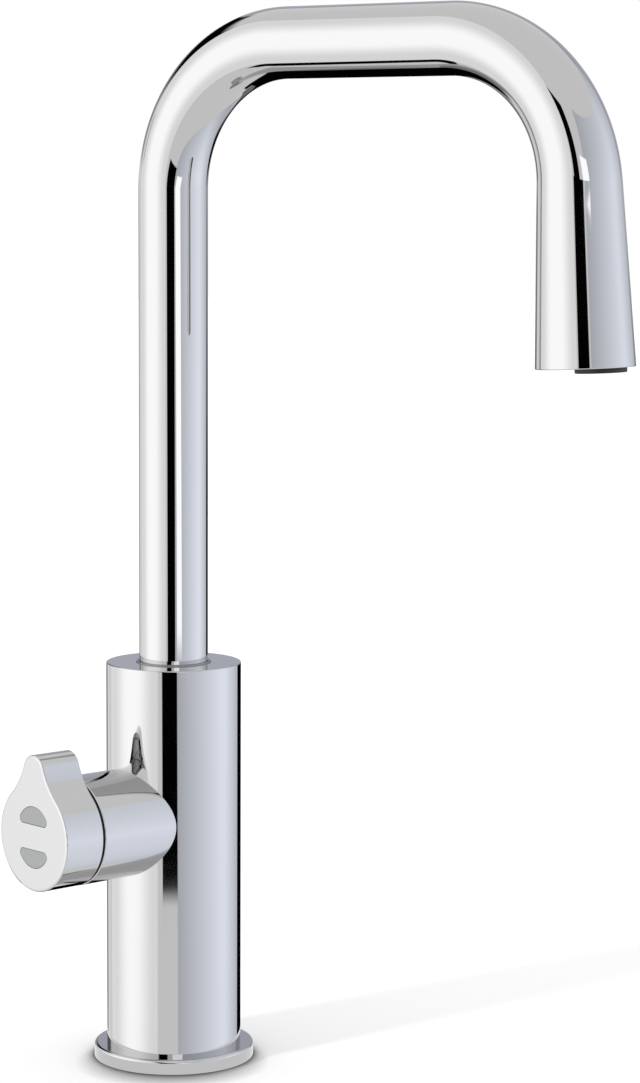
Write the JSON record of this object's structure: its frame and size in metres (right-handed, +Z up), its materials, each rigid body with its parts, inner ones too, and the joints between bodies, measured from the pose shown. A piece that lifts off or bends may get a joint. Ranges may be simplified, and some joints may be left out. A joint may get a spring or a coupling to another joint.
{
  "type": "boiling water tap",
  "caption": "Chrome kitchen tap: upright column, square swivel spout with a flared oval outlet, side lever with push buttons in its face, and a clamp fixing for a worktop hole.",
  "frame": {"origin": "middle of the tap hole, on the top face of the worktop", "axes": "+Z up along the column, -X out along the lever, -Y towards the user"},
  "size_m": [0.1211, 0.2197, 0.4464],
  "materials": {
    "chrome": "polished chrome plate",
    "brass": "machined brass",
    "steel": "bright stainless steel",
    "satin_metal": "fine satin",
    "rubber": "matt moulded rubber",
    "black_plastic": "fine moulded texture",
    "acetal": "natural moulded acetal",
    "ceramic": "lapped alumina ceramic",
    "silicone": "smooth silicone",
    "circuit_board": "solder mask"
  },
  "bodies": {
    "column": {"base_flange": "chrome", "base_gasket": "rubber", "column_shell": "chrome", "valve_core": "brass", "threaded_shank": "brass", "clamp_gasket": "rubber", "clamp_washer": "steel", "back_nut": "brass", "cold_inlet": "brass", "hot_inlet": "brass", "boiling_inlet": "brass", "chilled_inlet": "brass", "cartridge_housing": "brass", "cartridge_body": "acetal", "cartridge_base": "acetal", "fixed_disc": "ceramic", "cartridge_seal": "rubber", "cartridge_nut": "brass", "spindle_seal": "rubber", "handle_bush": "black_plastic", "thrust_washer": "acetal", "lower_swivel_bush": "acetal", "upper_swivel_bush": "acetal", "lower_swivel_seal": "rubber", "upper_swivel_seal": "rubber", "retaining_clip": "steel", "swivel_collar": "satin_metal"},
    "spout": {"spout_tube": "chrome", "spout_foot_plug": "brass", "mixed_water_tube": "acetal", "boiling_water_tube": "silicone", "chilled_water_tube": "silicone", "outlet_insert": "black_plastic", "aerator_housing": "black_plastic", "aerator_screen": "steel", "aerator_seal": "rubber", "filtered_water_nozzle": "steel"},
    "handle": {"handle_shell": "chrome", "handle_core": "brass", "grub_screw": "steel", "spindle": "brass", "moving_disc": "ceramic", "keypad_board": "circuit_board", "keypad_membrane": "silicone", "select_switch": "black_plastic", "safety_switch": "black_plastic"},
    "select_key": {"select_button": "satin_metal"},
    "safety_key": {"safety_button": "satin_metal"}
  },
  "joints": [
    {"name": "spout_swivel", "type": "hinge", "parent": "column", "child": "spout", "pos_m": [0, 0, 0.13], "axis": [0, 0, 1], "range_deg": [-72.4, 47.6]},
    {"name": "lever_turn", "type": "hinge", "parent": "column", "child": "handle", "pos_m": [-0.0575, 0, 0.0922], "axis": [1, 0, 0], "range_deg": [0, 90]},
    {"name": "select_press", "type": "slide", "parent": "handle", "child": "select_key", "axis": [1, 0, 0], "range_m": [0, 0.0008], "stiffness_N_per_m": 800, "springref_m": -0.0005},
    {"name": "safety_press", "type": "slide", "parent": "handle", "child": "safety_key", "axis": [1, 0, 0], "range_m": [0, 0.0008], "stiffness_N_per_m": 800, "springref_m": -0.0005}
  ]
}
